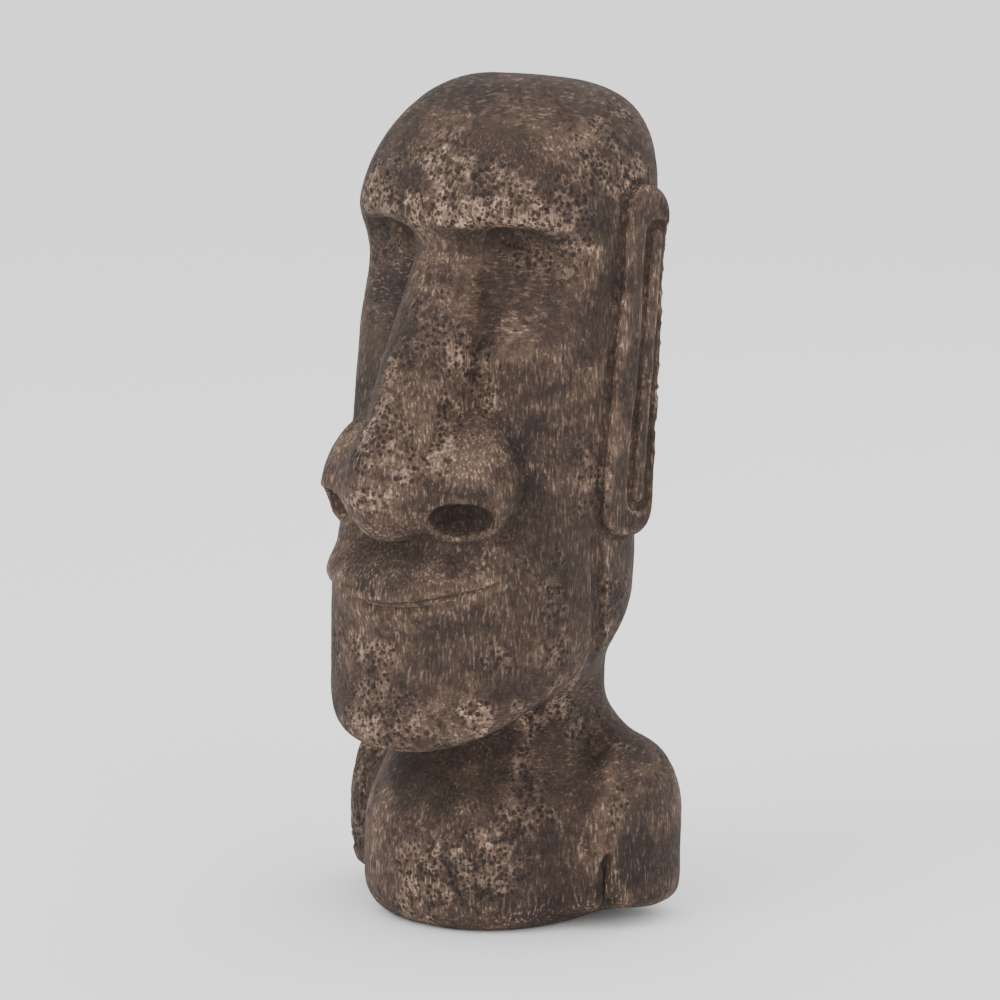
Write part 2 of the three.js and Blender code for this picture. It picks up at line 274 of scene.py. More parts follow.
# ------------------------------------------------------------------ the statue's bodies
@dataclass(frozen=True)
class Nose:
    """The long ridge, the ball of the nose, its flared wings and nostrils."""

    ridge_top: float = 240.0
    ridge_run: float = 156.0
    ridge_least: float = -0.1
    ridge_ease: float = 0.6
    ridge_y: float = 83.0
    ridge_advance: float = 47.0
    ridge_half_width: float = 49.0
    ridge_depth: float = 48.0
    ridge_depth_gain: float = 24.0
    ridge_power: float = 1.8
    ridge_head: float = 296.0
    ridge_head_soften: float = 30.0
    ridge_foot: float = 16.0
    ridge_foot_soften: float = 50.0
    ball: Place = (43.0, 49.0, 55.0)
    ball_y: float = -160.0
    ball_z: float = 34.0
    wing: Lump = Lump((59.0, -116.0, 43.0), (45.0, 46.0, 69.0), -14.0, 24.0)
    wing_blend: float = 40.0
    nostril: Lump = Lump((84.0, -155.0, 2.0), (38.0, 27.0, 19.0), 14.0, -30.0)
    base: float = -20.0
    base_rise: float = 0.0016
    rim: float = 5.0

    def ridge(self, x: Field, y: Field, z: Field) -> Field:
        """The ridge, whose section grows from the brow to the tip.

        Args:
            x: Coordinates across.
            y: Coordinates in depth.
            z: Heights.

        Returns:
            Distances from the ridge.
        """
        run = np.maximum((self.ridge_top - z) / self.ridge_run, self.ridge_least)
        t = join(run, np.ones_like(z), self.ridge_ease)
        depth = self.ridge_depth + self.ridge_depth_gain * t
        body = Column(self.ridge_half_width - t, depth, depth, self.ridge_power, self.ridge_power)
        ridge = body.distance(x, y + self.ridge_y + self.ridge_advance * t, z)
        ridge = meet(ridge, z - self.ridge_head, self.ridge_head_soften)
        return meet(ridge, self.ridge_foot - z, self.ridge_foot_soften)

    def ball_of(self, x: Field, y: Field, z: Field) -> Field:
        """Distances from the ball of the nose."""
        return ellipsoid(x, y - self.ball_y, z - self.ball_z, self.ball)

    def tip(self, x: Field, y: Field, z: Field, ball: Field, wing: Field) -> Field:
        """The tip with both wings, the nostrils scooped out and the base trimmed.

        Args:
            x: Coordinates across.
            y: Coordinates in depth.
            z: Heights.
            ball: Distances from the ball.
            wing: Distances from the wing.

        Returns:
            Distances from the tip.
        """
        tip = join(ball, wing, self.wing_blend)
        tip = meet(tip, -self.nostril.distance(x, y, z), self.rim)
        return meet(tip, self.base + self.base_rise * x * x - z, self.rim)


@dataclass(frozen=True)
class Mouth:
    """The long upper lip, the thin curved line under it and the low lower lip."""

    line: float = -78.0
    curve: float = 0.0028
    axis_y: float = -60.0
    back: float = 60.0
    front_power: float = 2.6
    back_power: float = 2.0
    upper_half_width: float = 107.0
    upper_depth: float = 88.0
    upper_top: float = -10.0
    upper_soften: float = 12.0
    pout: float = 29.0
    pout_span: tuple[float, float] = (12.0, 60.0)
    lower_half_width: float = 101.0
    lower_depth: float = 100.0
    lower_drop: float = 10.0
    lower_half_height: float = 13.0
    lower_soften: float = 22.0
    blend: float = 12.0
    line_edge: float = 3.0
    line_depth: float = 2.2
    line_half_width: float = 1.8

    def lip(self, half_width: float, depth: Any) -> Column:
        """The column that a lip is cut from."""
        return Column(half_width, depth, self.back, self.front_power, self.back_power)

    def add_to(self, head: Field, x: Field, y: Field, z: Field) -> Field:
        """Join the lips to the head.

        Args:
            head: Distances from the head.
            x: Coordinates across.
            y: Coordinates in depth.
            z: Heights.

        Returns:
            Distances from the head with its mouth.
        """
        line = self.line + self.curve * x * x
        depth = self.upper_depth + self.pout * ramp(-z, *self.pout_span)
        upper = self.lip(self.upper_half_width, depth).distance(x, y - self.axis_y, z)
        upper = meet(meet(upper, line - z, self.line_edge), z - self.upper_top, self.upper_soften)
        lower = self.lip(self.lower_half_width, self.lower_depth).distance(x, y - self.axis_y, z)
        band = np.abs(z - line + self.lower_drop) - self.lower_half_height
        lower = meet(lower, band, self.lower_soften)
        head = join(join(head, upper, self.blend), lower, self.blend)
        return head + scribe(upper, z - line, self.line_depth, self.line_half_width)


@dataclass(frozen=True)
class Ear:
    """A long ear: an upright slab with a looped groove that leaves an island inside."""

    at: Place = (140.0, 8.0, 166.0)
    turn: float = 6.0
    half_height: float = 166.0
    half_depth: float = 32.0
    half_thickness: float = 13.0
    corner: float = 28.0
    taper: float = 4.0
    sweep: float = 3.0
    rim: float = 7.0
    loop_y: float = 12.0
    loop_drop: float = 4.0
    loop_half_height: float = 133.0
    loop_half_depth: float = 12.0
    loop_corner: float = 11.0
    groove_radius: float = 5.2
    groove_squash: float = 0.8
    groove_soften: float = 2.5
    shallow_by: float = 2.6
    shallow_front: float = 8.0
    shallow_from: tuple[float, float] = (-60.0, -20.0)
    shallow_to: tuple[float, float] = (40.0, 80.0)

    def distance(self, x: Field, y: Field, z: Field) -> Field:
        """Measure from the ear, in the head's own axes.

        Args:
            x: Coordinates across.
            y: Coordinates in depth.
            z: Heights.

        Returns:
            Distances from the ear.
        """
        dz = z - self.at[2]
        k = np.clip(dz / self.half_height, -1.0, 1.0)
        ex, ey = turned(x - self.at[0], y - self.at[1] + self.sweep * k, self.turn)
        outline = long_oval(ey, dz, self.half_depth - self.taper * k, self.half_height, self.corner)
        slab = meet(outline, np.abs(ex) - self.half_thickness, self.rim)
        ly, lz = ey - self.loop_y, dz + self.loop_drop
        loop = long_oval(ly, lz, self.loop_half_depth, self.loop_half_height, self.loop_corner)
        shallow = ramp(-ly, 0.0, self.shallow_front) * ramp(dz, *self.shallow_from)
        radius = self.groove_radius - self.shallow_by * (shallow * (1.0 - ramp(dz, *self.shallow_to)))
        groove = np.hypot(loop, (ex - self.half_thickness) * self.groove_squash) - radius
        return meet(slab, -groove, self.groove_soften)


@dataclass(frozen=True)
class Head:
    """The head block, leaning back, with sockets, jaw, nose, mouth and ears."""

    lean: float = 8.0
    pivot_y: float = -28.0
    pivot_z: float = 380.0
    half_width: float = 139.0
    jaw_narrowing: float = 14.0
    jaw_span: tuple[float, float] = (40.0, 200.0)
    face_depth: float = 113.0
    face_power: float = 3.0
    chin_power_drop: float = 0.6
    chin_advance: float = 37.0
    chin_span: tuple[float, float] = (-40.0, 90.0)
    brow_advance: float = 27.0
    brow_span: tuple[float, float] = (240.0, 290.0)
    back_depth: float = 97.0
    back_power: float = 2.4
    nape_advance: float = 17.0
    nape_span: tuple[float, float] = (-120.0, 60.0)
    dome_from: float = 262.0
    dome_height: float = 167.0
    dome_power: float = 2.3
    dome_power_gain: float = 1.25
    dome_span: tuple[float, float] = (-90.0, 70.0)
    socket: Place = (68.0, 30.0, 58.0)
    socket_at: Place = (82.0, -122.0, 224.0)
    socket_turns: tuple[float, float] = (-20.0, 22.0)
    socket_soften: float = 30.0
    chin_y: float = -170.0
    chin_z: float = 186.0
    chin_slope: float = 24.5
    chin_edge: float = 42.0
    ridge_blend: float = 8.0
    ball_blend: float = 24.0
    tip_blend: float = 3.0
    wing_crease: tuple[float, float] = (2.4, 2.0)
    ear_blend: float = 3.5
    ear_crease: tuple[float, float] = (1.6, 2.5)
    eye_corner: Groove = Groove((58.0, -102.0, 266.0), (55.0, -119.0, 118.0), (12.0, 5.0), 12.0)
    jaw_groove: Groove = Groove((141.0, -18.0, -5.0), (132.0, 8.0, -135.0), (9.0, 7.0), 10.0)
    nose: Nose = field(default_factory=Nose)
    mouth: Mouth = field(default_factory=Mouth)
    ear: Ear = field(default_factory=Ear)

    def axes(self, y: Field, z: Field) -> tuple[Field, Field]:
        """Depth and height in the head's own leaning axes."""
        return turned(y - self.pivot_y, z - self.pivot_z, self.lean)

    def block(self, x: Field, y: Field, z: Field) -> Field:
        """The block with its brow overhang and its dome.

        Args:
            x: Coordinates across.
            y: Coordinates in depth.
            z: Heights.

        Returns:
            Distances from the block.
        """
        low = ramp(-z, *self.chin_span)
        brow = self.brow_advance * ramp(z, *self.brow_span)
        return Column(
            half_width=self.half_width - self.jaw_narrowing * ramp(-z, *self.jaw_span),
            front=self.face_depth + self.chin_advance * low + brow,
            back=self.back_depth + self.nape_advance * ramp(-z, *self.nape_span),
            front_power=self.face_power - self.chin_power_drop * low,
            back_power=self.back_power,
            dome_from=self.dome_from,
            dome_height=self.dome_height,
            dome=self.dome_power + self.dome_power_gain * ramp(y, *self.dome_span),
        ).distance(x, y, z)

    def socket_of(self, x: Field, y: Field, z: Field) -> Field:
        """The hollow under the brow, turned outwards and tipped.

        Args:
            x: Coordinates across.
            y: Coordinates in depth.
            z: Heights.

        Returns:
            Distances from the hollow.
        """
        dx, dy = turned(x - self.socket_at[0], y - self.socket_at[1], self.socket_turns[0])
        dy, dz = turned(dy, z - self.socket_at[2], self.socket_turns[1])
        return ellipsoid(dx, dy, dz, self.socket)

    def under_chin(self, y: Field, z: Field) -> Field:
        """The slope that cuts the head off below, from the chin up to the nape.

        Args:
            y: Coordinates in depth, in the statue's axes.
            z: Heights, in the statue's axes.

        Returns:
            Distances from the slope.
        """
        slope = math.radians(self.chin_slope)
        return (self.chin_z + (y - self.chin_y) * math.tan(slope) - z) * math.cos(slope)

    def distance(self, x: Field, y: Field, z: Field) -> Field:
        """Measure from the whole head.

        Args:
            x: Coordinates across, the same on both sides.
            y: Coordinates in depth.
            z: Heights.

        Returns:
            Distances from the head.
        """
        ly, lz = self.axes(y, z)
        head = meet(self.block(x, ly, lz), -self.socket_of(x, ly, lz), self.socket_soften)
        head = meet(head, self.under_chin(y, z), self.chin_edge)
        head = join(head, self.nose.ridge(x, ly, lz), self.ridge_blend)
        head = self.eye_corner.cut(head, x, ly, lz)
        ball, wing = self.nose.ball_of(x, ly, lz), self.nose.wing.distance(x, ly, lz)
        crease = scribe(head, wing, *self.wing_crease)
        head = join(head, ball, self.ball_blend)
        tip = self.nose.tip(x, ly, lz, ball, wing)
        head = join(head, tip, self.tip_blend) + crease
        head = self.mouth.add_to(head, x, ly, lz)
        ear = self.ear.distance(x, ly, lz)
        head = join(head, ear, self.ear_blend) + scribe(head, ear, *self.ear_crease)
        return self.jaw_groove.cut(head, x, ly, lz)


@dataclass(frozen=True)
class Bust:
    """The neck, chest, shoulders and arms, standing on the flat underside."""

    neck: Column = Column(100.0, 82.0, 86.0)
    neck_y: float = -15.0
    neck_top: float = 340.0
    neck_top_soften: float = 20.0
    neck_blend: float = 60.0
    chest: Column = Column(116.5, 136.0, 90.0, 2.3, 2.3, 74.0, 92.0, 2.2)
    chest_y: float = -20.0
    shoulders: Column = Column(160.0, 50.0, 64.0, 2.6, 2.6, 88.0, 124.0, 2.2)
    shoulders_y: float = 20.0
    shoulders_foot: float = 12.0
    shoulders_blend: float = 24.0
    arm: Column = Column(27.0, 64.0, 60.0, 2.3, 2.6, 92.0, 78.0, 2.0)
    arm_x: float = 142.0
    arm_foot: float = 18.0
    arm_blend: float = 44.0
    arm_blend_gain: float = 10.0
    arm_blend_span: tuple[float, float] = (40.0, 150.0)
    foot_edge: float = 24.0
    crease: Groove = Groove((151.0, -46.0, 0.0), (149.0, -48.0, 118.0), (6.0, 2.5), 12.0)
    underside: float = -1.0
    edge: float = 40.0

    def distance(self, x: Field, y: Field, z: Field) -> Field:
        """Measure from the whole bust.

        Args:
            x: Coordinates across, the same on both sides.
            y: Coordinates in depth.
            z: Heights.

        Returns:
            Distances from the bust.
        """
        neck = meet(self.neck.distance(x, y - self.neck_y, z), z - self.neck_top, self.neck_top_soften)
        body = join(self.chest.distance(x, y - self.chest_y, z), neck, self.neck_blend)
        shoulders = self.shoulders.distance(x, y - self.shoulders_y, z)
        shoulders = meet(shoulders, self.shoulders_foot - z, self.foot_edge)
        body = join(body, shoulders, self.shoulders_blend)
        arm = meet(self.arm.distance(x - self.arm_x, y, z), self.arm_foot - z, self.foot_edge)
        blend = self.arm_blend + self.arm_blend_gain * ramp(z, *self.arm_blend_span)
        body = self.crease.cut(join(body, arm, blend), x, y, z)
        return meet(body, self.underside - z, self.edge)


@dataclass(frozen=True)
class StatueForm:
    """The whole carved form, before wear."""

    head: Head = field(default_factory=Head)
    bust: Bust = field(default_factory=Bust)
    head_blend: float = 42.0

    def distance(self, p: Field) -> Field:
        """Measure from the statue.

        Args:
            p: Points in millimetres, one a row.

        Returns:
            Distances, negative inside.
        """
        x, y, z = np.abs(p[:, 0]), p[:, 1], p[:, 2]
        body = join(self.head.distance(x, y, z), self.bust.distance(x, y, z), self.head_blend)
        return np.maximum(body, -z)

    def slope(self, p: Field, e: float = 0.5) -> Field:
        """The outward direction of the form.

        Args:
            p: Points in millimetres, one a row.
            e: Half of the step that the slope is measured over.

        Returns:
            The gradient at each point.
        """
        steps = np.eye(3) * e
        return np.stack([self.distance(p + s) - self.distance(p - s) for s in steps], axis=1) / (2 * e)


# ------------------------------------------------------------------ weathering
def lattice(ix: Field, iy: Field, iz: Field, seed: int) -> Field:
    """Give each cell of a grid its own steady number.

    Args:
        ix: Cell counts across.
        iy: Cell counts in depth.
        iz: Cell counts upwards.
        seed: Which set of numbers to use.

    Returns:
        Values from 0 to 1.
    """
    h = (ix * 374761393 + iy * 668265263 + iz * 2147483647 + seed * 1274126177) & 0xFFFFFFFF
    h = ((h ^ (h >> 13)) * 1274126177) & 0xFFFFFFFF
    return ((h ^ (h >> 16)) & 0xFFFF) / 65535.0


def grain(p: Field, size: float, seed: int) -> Field:
    """Smooth random swells.

    Args:
        p: Points, one a row.
        size: Length of one swell.
        seed: Which swells.

    Returns:
        Values from -1 to 1.
    """
    q = p / size + 100.0
    i = np.floor(q).astype(np.int64)
    f = q - i
    f = f * f * f * (f * (f * 6.0 - 15.0) + 10.0)
    total = np.zeros(len(p))
    for corner in np.ndindex(2, 2, 2):
        w = np.prod([f[:, k] if corner[k] else 1.0 - f[:, k] for k in range(3)], axis=0)
        total += w * lattice(i[:, 0] + corner[0], i[:, 1] + corner[1], i[:, 2] + corner[2], seed)
    return total * 2.0 - 1.0


def fractal(p: Field, size: float, seed: int, octaves: int = 3) -> Field:
    """Swells with finer swells on them.

    Args:
        p: Points, one a row.
        size: Length of the largest swell.
        seed: Which swells.
        octaves: How many sizes, each half of the last.

    Returns:
        Values from about -1 to 1.
    """
    parts = [grain(p, size / 2**k, seed + 17 * k) * 0.5**k for k in range(octaves)]
    return sum(parts) / sum(0.5**k for k in range(octaves))


def dents(p: Field, spacing: float, seed: int, share: float, radius: tuple[float, float]) -> Field:
    """Scattered round dents.

    Args:
        p: Points, one a row.
        spacing: Size of the cells that hold one dent each.
        seed: Which dents.
        share: Share of the cells that have one.
        radius: Smallest and largest radius, as shares of the spacing.

    Returns:
        Depths from 0 to 1.
    """
    q = p / spacing + 100.0
    i = np.floor(q).astype(np.int64)
    depth = np.zeros(len(p))
    for step in np.ndindex(3, 3, 3):
        cell = [i[:, k] + step[k] - 1 for k in range(3)]
        away = [
            q[:, k] - cell[k] - 0.15 - 0.7 * lattice(*cell, seed + 3 + k) for k in range(3)
        ]
        pick = lattice(*cell, seed)
        r = radius[0] + (radius[1] - radius[0]) * lattice(*cell, seed + 9)
        t = np.clip(1.25 - np.sqrt(sum(a * a for a in away)) / r, 0.0, 1.0)
        depth = np.maximum(depth, np.where(pick < share, t * t * (3.0 - 2.0 * t), 0.0))
    return depth


@dataclass(frozen=True)
class Patch:
    """A stretch of the surface where the stone is more pitted or lies another way."""

    place: Place
    radii: Place
    strength: float = 1.0

    def weight(self, p: Field) -> Field:
        """How much each point belongs to the patch, from 0 to its strength."""
        q = (p - np.array(self.place)) / np.array(self.radii)
        return self.strength * (1.0 - ramp(np.sqrt((q * q).sum(axis=1)), 0.55, 1.15))


def strongest(patches: Sequence[Patch], p: Field) -> Field:
    """The largest weight that any of the patches gives each point."""
    return np.max([patch.weight(p) for patch in patches], axis=0)


@dataclass(frozen=True)
class Dents:
    """One size of scattered round dents. Sizes in millimetres."""

    spacing: float
    seed: int
    share: float
    radius: tuple[float, float]
    depth: float

    def at(self, p: Field) -> Field:
        """How far each point lies in a dent, from 0 to 1."""
        return dents(p, self.spacing, self.seed, self.share, self.radius)


@dataclass(frozen=True)
class Weathering:
    """How the stone is pitted, dressed and worn. Places are in millimetres, in the part's frame."""

    pitted: tuple[Patch, ...] = (
        Patch((20, -45, 705), (135, 80, 42)),
        Patch((122, 60, 745), (45, 60, 60)),
        Patch((-122, 60, 745), (45, 60, 60), 0.8),
        Patch((0, -165, 470), (62, 60, 62), 0.8),
        Patch((-10, -140, 215), (70, 45, 45), 0.8),
        Patch((60, -125, 215), (60, 45, 30), 0.9),
        Patch((105, -20, 225), (45, 60, 40), 0.6),
        Patch((-105, -20, 225), (45, 60, 40), 0.6),
        Patch((-150, 0, 90), (45, 60, 75), 0.9),
        Patch((60, -80, 60), (90, 40, 35), 0.6),
    )
    levelled: tuple[Patch, ...] = (
        Patch((72, -32, 610), (62, 60, 62)),
        Patch((-72, -32, 610), (62, 60, 62)),
        Patch((0, 60, 800), (200, 200, 60), 0.9),
    )
    sloped: tuple[Patch, ...] = (
        Patch((0, 0, 215), (210, 190, 55)),
        Patch((0, 60, 160), (230, 150, 60), 0.8),
    )
    large: Dents = Dents(9.5, 41, 0.55, (0.2, 0.42), 1.7)
    small: Dents = Dents(6.0, 61, 0.6, (0.22, 0.42), 0.9)
    strokes: Dents = Dents(6.5, 81, 0.5, (0.18, 0.34), 0.75)
    stroke_stretch: Place = (1.0, 1.0, 0.3)
    warp_size: float = 9.0
    warp: float = 1.6
    skin: float = 0.5
    swell: float = 0.75
    ripple: float = 0.35
    edge_wear: float = 0.5
    edge_chips: float = 0.7
    deepest: float = 4.0
    highest: float = -0.3
    foot_span: tuple[float, float] = (0.5, 9.0)

    def coarseness(self, p: Field) -> Field:
        """How densely pitted each point is.

        Args:
            p: Points in millimetres, one a row.

        Returns:
            Values from 0 to 1.
        """
        islands = ramp(fractal(p, 46.0, 5), 0.08, 0.45)
        marked = strongest(self.pitted, p) * ramp(fractal(p, 30.0, 11), -0.45, 0.15)
        return np.clip(0.16 + 0.45 * islands + marked, 0.0, 1.0)

    def sink(self, p: Field, edge: Field) -> Field:
        """How far wear takes each point of the form inwards.

        Args:
            p: Points in millimetres, one a row.
            edge: How much each point stands on an outer edge, from 0 to 1.

        Returns:
            Depths in millimetres.
        """
        coarse = self.coarseness(p)
        bend = np.stack([grain(p, self.warp_size, seed) for seed in (31, 32, 33)], axis=1)
        warped = p + bend * self.warp
        large, small = self.large.at(warped), self.small.at(warped)
        strokes = self.strokes.at(warped * self.stroke_stretch)
        sink = self.skin - self.swell * fractal(p, 58.0, 21) - self.ripple * fractal(p, 15.0, 25)
        sink += coarse * (self.large.depth * large + self.small.depth * small)
        sink += (1.0 - 0.8 * coarse) * self.strokes.depth * strokes
        sink += edge * (self.edge_wear + self.edge_chips * fractal(p, 13.0, 29))
        return np.clip(sink, self.highest, self.deepest) * ramp(p[:, 2], *self.foot_span)


# ------------------------------------------------------------------ the carved mesh
@dataclass
class Statue:
    """The moai: head, neck and bust in one stone. Sizes in millimetres."""

    form: StatueForm = field(default_factory=StatueForm)
    wear: Weathering = field(default_factory=Weathering)
    cell: float = 2.3
    triangles: int = 196000
    smooth_rounds: int = 3

    def from_solid(self, node: bpy.types.Object) -> bpy.types.Object:
        """Copy the solid's closed skin to a piece of its own.

        Args:
            node: The solid's object.

        Returns:
            The new piece.
        """
        shell = bmesh.new()
        shell.from_mesh(node.data)
        bmesh.ops.remove_doubles(shell, verts=shell.verts, dist=0.02 * MM)
        mesh = bpy.data.meshes.new("moai_stone")
        shell.to_mesh(mesh)
        shell.free()
        piece = bpy.data.objects.new("moai_stone", mesh)
        bpy.context.scene.collection.objects.link(piece)
        return piece

    def settle_modifier(self, piece: bpy.types.Object, kind: str, **settings: Any) -> None:
        """Work one modifier into a piece's mesh.

        Args:
            piece: The piece.
            kind: The modifier's type.
            **settings: The modifier's settings.
        """
        modifier = piece.modifiers.new(kind.title(), kind)
        for name, value in settings.items():
            setattr(modifier, name, value)
        bpy.context.view_layer.update()
        worked = piece.evaluated_get(bpy.context.evaluated_depsgraph_get())
        mesh = bpy.data.meshes.new_from_object(worked)
        piece.modifiers.remove(modifier)
        old, piece.data = piece.data, mesh
        bpy.data.meshes.remove(old)

    def points(self, piece: bpy.types.Object) -> Field:
        """Read the piece's vertices in the form's own axes.

        Args:
            piece: The piece.

        Returns:
            Points in millimetres, one a row.
        """
        flat = np.empty(len(piece.data.vertices) * 3)
        piece.data.vertices.foreach_get("co", flat)
        return flat.reshape(-1, 3) / MM - (0.0, MIDDLE_Y, 0.0)

    def put_points(self, piece: bpy.types.Object, p: Field) -> None:
        """Move the piece's vertices.

        Args:
            piece: The piece.
            p: Their new points in the form's own axes, one a row.
        """
        flat = (p + (0.0, MIDDLE_Y, 0.0)) * MM
        flat[:, 2] = np.maximum(flat[:, 2], 0.0)
        piece.data.vertices.foreach_set("co", flat.ravel())
        piece.data.update()

    def onto_form(self, p: Field, rounds: int = 3) -> Field:
        """Bring points onto the carved form.

        Args:
            p: Points in millimetres, one a row.
            rounds: How many times the miss is measured and closed.

        Returns:
            Points on the form.
        """
        for _ in range(rounds):
            miss = self.form.distance(p)
            g = self.form.slope(p)
            move = np.clip(miss / np.maximum((g * g).sum(axis=1), 0.2), -3.0, 3.0)
            p = p - g * move[:, None]
        return p

    def even_out(self, p: Field, edges: Field) -> Field:
        """Slide points towards the middle of their neighbours, within the surface.

        Args:
            p: Points, one a row.
            edges: Pairs of joined points, one pair a row.

        Returns:
            The points, evenly spread.
        """
        a, b = edges[:, 0], edges[:, 1]
        count = np.bincount(a, minlength=len(p)) + np.bincount(b, minlength=len(p))
        middle = np.stack(
            [np.bincount(a, p[b, k], len(p)) + np.bincount(b, p[a, k], len(p)) for k in range(3)], axis=1
        ) / count[:, None]
        n = self.form.slope(p)
        n /= np.linalg.norm(n, axis=1)[:, None] + 1e-9
        move = middle - p
        return p + 0.5 * (move - n * (move * n).sum(axis=1)[:, None])

    def edge_of(self, p: Field, reach: float = 5.0) -> Field:
        """How much each point stands on an outer edge.

        Args:
            p: Points on the form, one a row.
            reach: How far round the point is felt, in millimetres.

        Returns:
            Values from -1 in a crease to 1 on a sharp edge.
        """
        around = [self.form.distance(p + s * reach) for s in np.vstack([np.eye(3), -np.eye(3)])]
        return np.clip(sum(around) / (6.0 * reach) * 6.0 - 0.15, -1.0, 1.0)

    def store(self, piece: bpy.types.Object, name: str, kind: str, values: Field) -> None:
        """Keep a value for each vertex, for the finish to read.

        Args:
            piece: The piece.
            name: The attribute's name.
            kind: FLOAT or FLOAT_VECTOR.
            values: One value or one row a vertex.
        """
        layer = piece.data.attributes.new(name, kind, "POINT")
        key = "value" if kind == "FLOAT" else "vector"
        layer.data.foreach_set(key, np.ascontiguousarray(values, dtype=np.float32).ravel())

    def carve(self, node: bpy.types.Object) -> bpy.types.Object:
        """Build the carved and weathered statue.

        Args:
            node: The solid that it stands for.

        Returns:
            The finished piece, without its material.
        """
        piece = self.from_solid(node)
        self.settle_modifier(piece, "REMESH", mode="VOXEL", voxel_size=self.cell * MM)
        edges = np.empty(len(piece.data.edges) * 2, dtype=np.int64)
        piece.data.edges.foreach_get("vertices", edges)
        p = self.onto_form(self.points(piece))
        for _ in range(self.smooth_rounds):
            p = self.onto_form(self.even_out(p, edges.reshape(-1, 2)), 1)
        edge = np.clip(self.edge_of(p), 0.0, 1.0)
        n = self.form.slope(p, 1.0)
        n /= np.linalg.norm(n, axis=1)[:, None] + 1e-9
        frame_points = p + (0.0, MIDDLE_Y, 0.0)
        self.put_points(piece, p - n * self.wear.sink(frame_points, edge)[:, None])
        count = sum(len(f.vertices) - 2 for f in piece.data.polygons)
        self.settle_modifier(piece, "DECIMATE", ratio=min(1.0, self.triangles / count))
        piece.data.polygons.foreach_set("use_smooth", [True] * len(piece.data.polygons))
        self.note_surface(piece)
        log.info("moai_stone: %d triangles from %d", len(piece.data.polygons), count)
        return piece

    def note_surface(self, piece: bpy.types.Object) -> None:
        """Keep the wear, the depth of hollows and the creases that the finish darkens with painted
        shade, and the lie of the surface on the vertices.

        Args:
            piece: The carved piece.
        """
        p = self.points(piece)
        place = p + (0.0, MIDDLE_Y, 0.0)
        # How far each vertex lies below the carved form; the finish paints shade into these hollows over
        # their own darker colour.
        hollow = np.clip(-self.form.distance(p) - 0.5, -0.6, 3.0)
        self.store(piece, "hollow", "FLOAT", hollow)
        # Negative in creases, where the finish paints shade; positive on edges, which it pales as wear.
        self.store(piece, "edge", "FLOAT", self.edge_of(p))
        self.store(piece, "coarse", "FLOAT", self.wear.coarseness(place))
        level = strongest(self.wear.levelled, place)
        sloped = strongest(self.wear.sloped, place) * (1.0 - level)
        self.store(piece, "lay", "FLOAT_VECTOR", np.stack([1.0 - level - sloped, level, sloped], axis=1))


# ------------------------------------------------------------------ finishes
class Paint:
    """A material's nodes."""

    def __init__(self, name: str) -> None:
        """Start a material.

        Args:
            name: The material's name.
        """
        self.material = bpy.data.materials.new(name)
        self.material.use_nodes = True
        self.tree = self.material.node_tree
        self.tree.nodes.clear()

    def node(
        self, kind: str, settings: Optional[dict[str, Any]] = None, **sockets: Any
    ) -> bpy.types.Node:
        """Add one node.

        Args:
            kind: The node's type.
            settings: Its settings, set before its sockets.
            **sockets: Values or links for its inputs, named with _ for a space, or by
                number as i0.

        Returns:
            The node.
        """
        made = self.tree.nodes.new(kind)
        for name, value in (settings or {}).items():
            setattr(made, name, value)
        for name, value in sockets.items():
            number = name[0] == "i" and name[1:].isdigit()
            socket = made.inputs[int(name[1:])] if number else made.inputs[name.replace("_", " ")]
            if isinstance(value, Val):
                self.tree.links.new(value.socket, socket)
            else:
                socket.default_value = value
        return made

    def val(self, made: bpy.types.Node, output: Union[int, str] = 0) -> "Val":
        """One output of a node, ready for sums."""
        return Val(self, made.outputs[output])

    def read(self, name: str, output: str) -> "Val":
        """A value kept on the piece's vertices.

        Args:
            name: The attribute's name.
            output: Fac for a number, or Vector for three.

        Returns:
            The value.
        """
        return self.val(self.node("ShaderNodeAttribute", {"attribute_name": name}), output)

    def mix(self, share: "Val", a: Any, b: Any) -> "Val":
        """Blend two colours.

        Args:
            share: How much of the second shows.
            a: First colour.
            b: Second colour.

        Returns:
            The blended colour.
        """
        settings = {"data_type": "RGBA", "clamp_factor": True}
        return self.val(self.node("ShaderNodeMix", settings, i0=share, i6=a, i7=b), 2)

    def noise(self, place: "Val", size: float, detail: float = 2.0, rough: float = 0.5) -> "Val":
        """Cloudy noise about 0.5.

        Args:
            place: Where it is read.
            size: Size of one cloud in millimetres.
            detail: How many finer sizes it has.
            rough: How strong the finer sizes are.

        Returns:
            The noise.
        """
        scale = 1.0 / size / MM
        made = self.node(
            "ShaderNodeTexNoise", None, Vector=place, Scale=scale, Detail=detail, Roughness=rough
        )
        return self.val(made, 0)

    def pits(self, place: "Val", size: float, share: float, radius: float) -> "Val":
        """Scattered round pits with firm rims.

        Args:
            place: Where they are read.
            size: Spacing of the pits in millimetres.
            share: Share of the spaces that hold a pit.
            radius: Radius of a pit, as a share of the spacing.

        Returns:
            1 inside a pit, easing to 0 outside.
        """
        made = self.node("ShaderNodeTexVoronoi", {"feature": "F1"}, Vector=place, Scale=1.0 / size / MM)
        own = self.node("ShaderNodeSeparateXYZ", None, Vector=self.val(made, "Color"))
        reach = self.val(made, "Distance") - self.val(own, 1) * radius * 0.5
        kept = self.val(own, 0).ramp(1.0 - share, 1.04 - share)
        return (1.0 - reach.ramp(radius * 0.55, radius)) * kept


